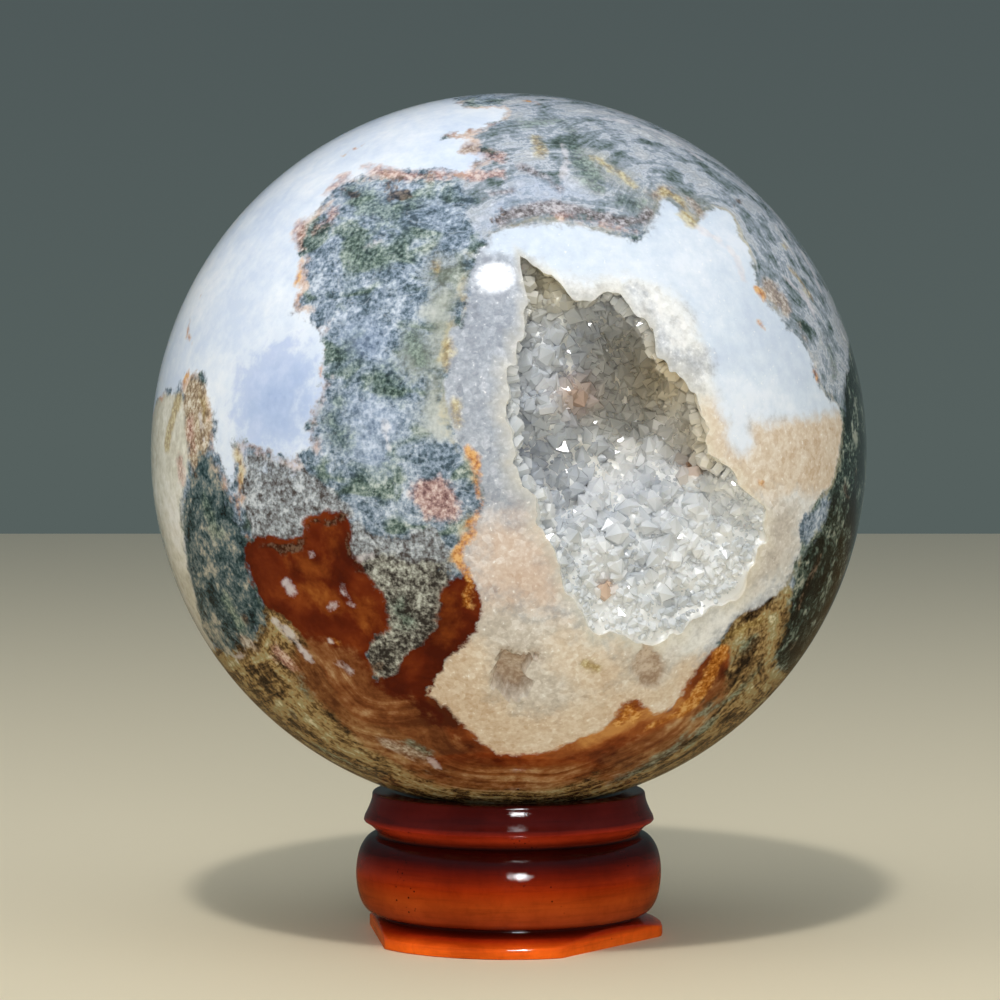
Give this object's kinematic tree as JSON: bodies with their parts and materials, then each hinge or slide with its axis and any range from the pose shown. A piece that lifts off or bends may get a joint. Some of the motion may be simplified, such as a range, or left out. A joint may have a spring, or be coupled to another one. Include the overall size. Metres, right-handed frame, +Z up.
{
  "type": "decorative sphere",
  "caption": "Polished moss agate sphere with an open cavity lined with quartz crystals, resting in a low turned stand of red lacquered wood.",
  "frame": {"origin": "centre of the stand's flat underside, on the table", "axes": "+Z up along the stand's turning axis, -Y towards the viewer, the side that the crystal cavity opens to, +X to the viewer's right"},
  "size_m": [0.09, 0.09, 0.1061],
  "materials": {
    "agate": "polished",
    "quartz": "natural crystal faces",
    "lacquered_wood": "high gloss lacquer"
  },
  "bodies": {
    "root": {"agate_sphere": "agate", "wooden_stand": "lacquered_wood"}
  },
  "joints": []
}
